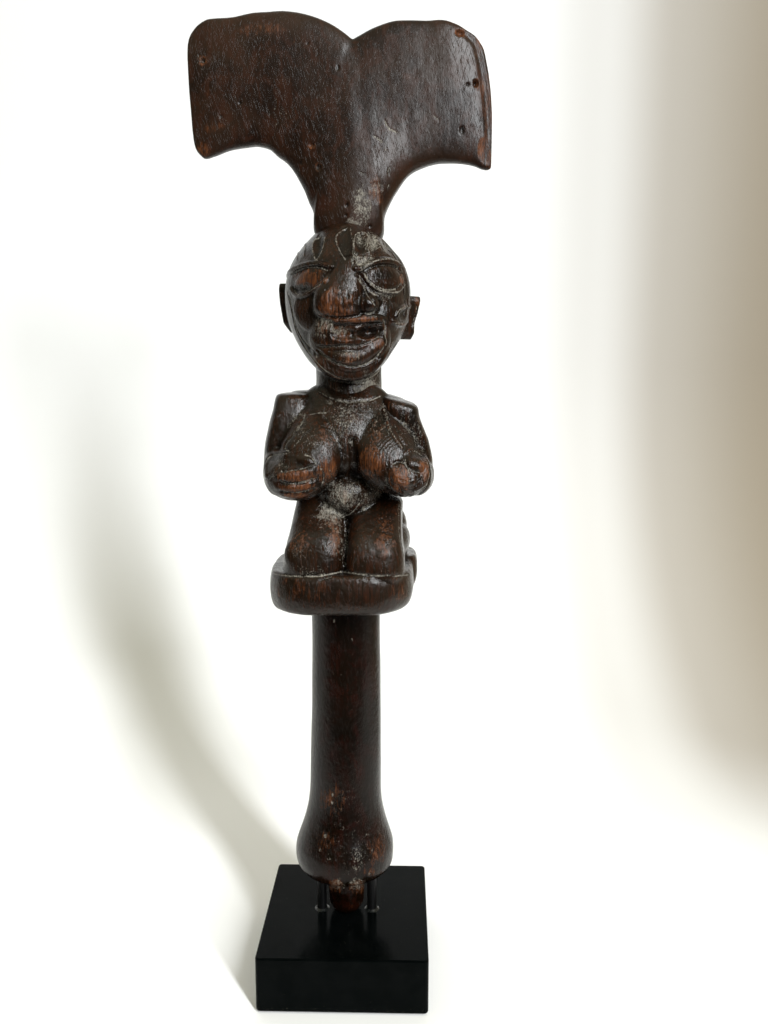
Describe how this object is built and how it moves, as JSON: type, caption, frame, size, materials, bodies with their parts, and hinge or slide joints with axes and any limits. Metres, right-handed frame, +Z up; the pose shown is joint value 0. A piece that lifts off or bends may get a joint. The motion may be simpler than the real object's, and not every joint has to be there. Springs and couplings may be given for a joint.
{
  "type": "shango dance wand",
  "caption": "Carved wooden dance wand with a double axe blade on a kneeling figure, held upright by two pins in a square block.",
  "frame": {"origin": "middle of the stand's underside, on the table", "axes": "+Z up along the wand, the figure faces -Y, +X to the viewer's right"},
  "size_m": [0.1261, 0.0801, 0.4262],
  "materials": {
    "carved_wood": "dark handled patina, semi-gloss, worn to red-brown on the high places",
    "black_paint": "satin black paint on wood",
    "black_steel": "semi-gloss black",
    "glue": "hardened, glossy",
    "felt": "matt black felt"
  },
  "bodies": {
    "stand": {"display_block": "black_paint", "left_pin": "black_steel", "right_pin": "black_steel", "left_pin_bead": "glue", "right_pin_bead": "glue", "felt_pad": "felt"},
    "wand": {"wand": "carved_wood"}
  },
  "joints": [
    {"name": "wand_lift", "type": "slide", "parent": "stand", "child": "wand", "axis": [0, 0, 1], "range_m": [0, 0.04]}
  ]
}
